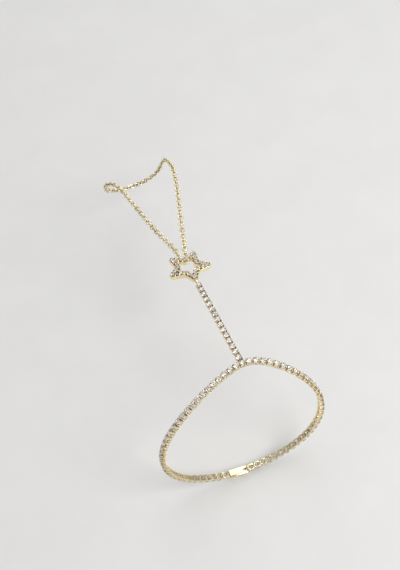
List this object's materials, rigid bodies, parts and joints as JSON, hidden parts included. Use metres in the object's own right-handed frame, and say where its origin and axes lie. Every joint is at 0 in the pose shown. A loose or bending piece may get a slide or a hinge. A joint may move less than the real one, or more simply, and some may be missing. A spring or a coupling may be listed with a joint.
{
  "type": "hand chain bracelet",
  "caption": "Hand chain: a closed wrist chain of round stones in cups, a strand of the same along the hand, an open stone-set star and a fine chain loop for the middle finger.",
  "frame": {"origin": "middle of the wrist that the closed chain goes round", "axes": "+X towards the thumb, +Y along the hand towards the fingertips, +Z out of the back of the hand"},
  "size_m": [0.0578, 0.124, 0.0472],
  "materials": {
    "polished_gold": "polished gold plate",
    "fine_gold_chain": "polished pale gold plate",
    "cut_stone": "clear faceted stone"
  },
  "bodies": {
    "root": {"wrist_cups": "polished_gold", "wrist_stones": "cut_stone", "junction_cup": "polished_gold", "junction_stone": "cut_stone", "strand_cups_row": "polished_gold", "strand_stones": "cut_stone", "star_frame": "polished_gold", "star_stones": "cut_stone", "finger_chain": "fine_gold_chain", "clasp": "polished_gold"}
  },
  "joints": []
}
